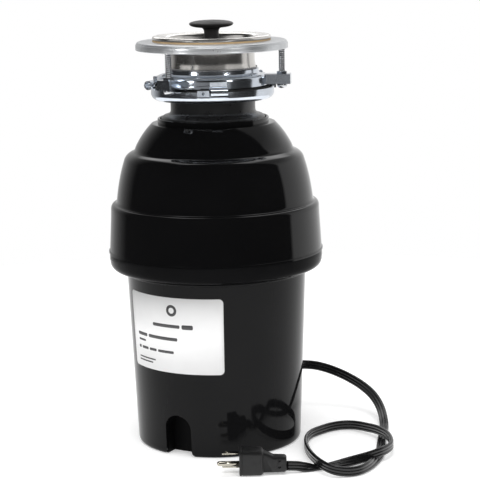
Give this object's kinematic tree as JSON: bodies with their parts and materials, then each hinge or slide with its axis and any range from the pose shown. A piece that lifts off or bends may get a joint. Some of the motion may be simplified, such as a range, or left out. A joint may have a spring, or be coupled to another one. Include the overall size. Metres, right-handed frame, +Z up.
{
  "type": "kitchen garbage disposal",
  "caption": "Black under-sink food waste disposer with sink mount, stopper, grinding stage, motor, drain outlet, and a flat cord ending in a grounded plug.",
  "frame": {"origin": "on the body's axis, at the surface the unit stands on", "axes": "+Z up along the body's axis, -Y the front with the rating label and the notch, +Y the side of the drain outlet and the dishwasher inlet"},
  "size_m": [0.274, 0.2669, 0.4126],
  "materials": {
    "shell_black": "deep gloss black moulded shell",
    "neck_black": "satin black coated metal",
    "rubber_black": "black moulded rubber",
    "stopper_plastic": "dark grey moulded plastic",
    "polished_steel": "polished stainless rim, turned throat",
    "fibre": "tan pressed fibre",
    "grey_zinc": "dull zinc",
    "bright_zinc": "bright zinc plate",
    "spring_steel": "dark spring steel",
    "bolt_steel": "zinc-plated steel",
    "label_white": "printed white label",
    "foam_grey": "sound-deadening foam",
    "stainless": "stamped stainless steel",
    "cast_grey": "grey die casting",
    "shaft_steel": "ground steel",
    "bearing_steel": "bearing steel",
    "can_grey": "grey painted steel",
    "ferrite": "ferrite",
    "core_steel": "stacked electrical steel",
    "copper": "enamelled copper",
    "phenolic": "brown phenolic board",
    "brass": "plain brass",
    "carbon": "carbon",
    "coil_steel": "spring wire",
    "switch_black": "black moulded switch body",
    "button_red": "red button",
    "base_black": "black moulded base",
    "terminal_cream": "cream terminal block",
    "wire_black": "wire insulation",
    "cord_black": "black flexible vinyl",
    "plug_black": "black moulded vinyl"
  },
  "bodies": {
    "root": {"sink_flange": "polished_steel", "snap_ring": "spring_steel", "upper_mounting_ring": "bright_zinc", "mount_cushion": "rubber_black", "hopper": "neck_black", "inlet_plug": "neck_black", "hopper_bolts": "bolt_steel", "upper_shell": "shell_black", "belly_ring": "shell_black", "lower_shell": "shell_black", "rating_label": "label_white", "upper_insulation": "foam_grey", "lower_insulation": "foam_grey", "grind_ring": "stainless", "shaft_seal": "rubber_black", "drain_chamber": "cast_grey", "upper_bearing": "bearing_steel", "lower_bearing": "bearing_steel", "upper_end_bell": "cast_grey", "lower_end_bell": "cast_grey", "motor_can": "can_grey", "field_magnets": "ferrite", "brush_plate": "phenolic", "brush_holders": "brass", "brushes": "carbon", "brush_springs": "coil_steel", "through_bolts": "bolt_steel", "overload_switch": "switch_black", "base_cover": "base_black", "base_screws": "bolt_steel", "terminal_block": "terminal_cream", "lead_wires": "wire_black", "strain_relief": "cord_black", "power_cord": "cord_black", "plug_body": "plug_black", "plug_blades": "brass", "plug_ground_pin": "brass"},
    "splash_guard": {"splash_guard": "rubber_black"},
    "stopper": {"stopper": "stopper_plastic", "stopper_seal": "rubber_black"},
    "clamp": {"backup_ring": "grey_zinc", "fibre_gasket": "fibre", "mounting_bolts": "bright_zinc"},
    "lock_ring": {"lock_ring": "bright_zinc"},
    "rotor": {"shaft": "shaft_steel", "turntable": "stainless", "turntable_nut": "bolt_steel", "impeller_pins": "stainless", "slinger": "rubber_black", "armature_core": "core_steel", "armature_windings": "copper", "commutator": "copper"},
    "impeller_1": {"impeller_1": "stainless"},
    "impeller_2": {"impeller_2": "stainless"},
    "reset_button": {"reset_button": "button_red"}
  },
  "joints": [
    {"name": "splash_guard_lift", "type": "slide", "parent": "root", "child": "splash_guard", "axis": [0, 0, 1], "range_m": [0, 0.06]},
    {"name": "stopper_lift", "type": "slide", "parent": "splash_guard", "child": "stopper", "axis": [0, 0, 1], "range_m": [0, 0.08]},
    {"name": "clamp_travel", "type": "slide", "parent": "root", "child": "clamp", "axis": [0, 0, 1], "range_m": [-0.02, 0]},
    {"name": "lock_ring_turn", "type": "hinge", "parent": "root", "child": "lock_ring", "pos_m": [0, 0, 0.342], "axis": [0, 0, 1], "range_deg": [-19, 0]},
    {"name": "rotor_spin", "type": "hinge", "parent": "root", "child": "rotor", "pos_m": [0, 0, 0.2], "axis": [0, 0, 1], "continuous": true},
    {"name": "impeller_1_swing", "type": "hinge", "parent": "rotor", "child": "impeller_1", "pos_m": [0.04, 0, 0.23], "axis": [0, 0, 1], "continuous": true},
    {"name": "impeller_2_swing", "type": "hinge", "parent": "rotor", "child": "impeller_2", "pos_m": [-0.04, 0, 0.23], "axis": [0, 0, 1], "continuous": true},
    {"name": "reset_press", "type": "slide", "parent": "root", "child": "reset_button", "axis": [0, 0, 1], "range_m": [0, 0.003], "stiffness_N_per_m": 800, "springref_m": -0.003}
  ]
}
